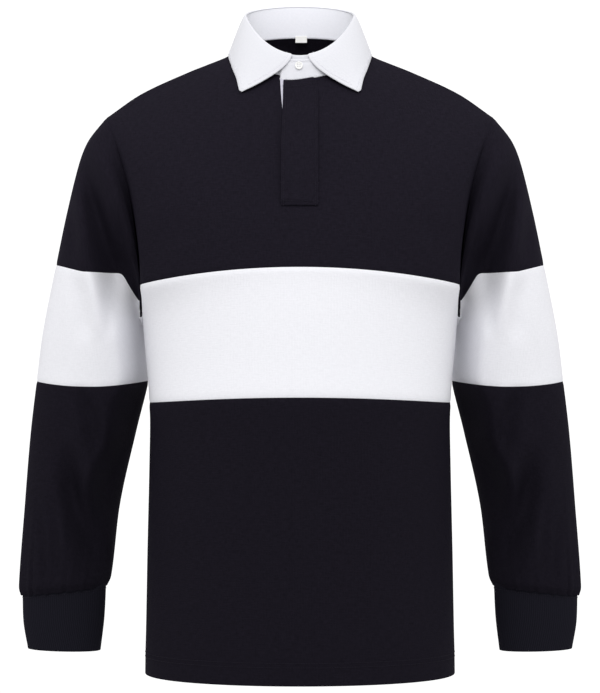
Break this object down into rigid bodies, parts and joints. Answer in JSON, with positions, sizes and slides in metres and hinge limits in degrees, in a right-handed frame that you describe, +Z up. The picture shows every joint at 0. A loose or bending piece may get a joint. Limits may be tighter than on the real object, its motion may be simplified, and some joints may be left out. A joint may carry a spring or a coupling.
{
  "type": "rugby shirt",
  "caption": "Long-sleeved rugby shirt filled out as worn: midnight navy with a white band round chest and sleeves, white collar turned down, navy placket.",
  "frame": {"origin": "midway between the two high shoulder points at the base of the neck, where the shoulders carry the shirt", "axes": "+X to the wearer's left, +Y to the wearer's back, +Z up from hem to collar"},
  "size_m": [0.678, 0.266, 0.8061],
  "materials": {
    "navy_jersey": "matt heavy cotton jersey, midnight navy",
    "white_jersey": "matt heavy cotton jersey, white",
    "white_twill": "matt pressed cotton twill, white",
    "navy_rib": "matt fine rib knit, midnight navy",
    "label_satin": "satin, plain white",
    "button_resin": "satin off-white resin"
  },
  "bodies": {
    "root": {"front_upper": "navy_jersey", "front_band": "white_jersey", "front_lower": "navy_jersey", "back_upper": "navy_jersey", "back_band": "white_jersey", "back_lower": "navy_jersey", "sleeve_left_upper": "navy_jersey", "sleeve_left_band": "white_jersey", "sleeve_left_lower": "navy_jersey", "cuff_left": "navy_rib", "sleeve_right_upper": "navy_jersey", "sleeve_right_band": "white_jersey", "sleeve_right_lower": "navy_jersey", "cuff_right": "navy_rib", "collar_stand": "white_twill", "collar_leaf": "white_twill", "placket_facing": "white_twill", "placket_top": "navy_jersey", "neck_label": "label_satin", "neck_button": "button_resin"}
  },
  "joints": []
}
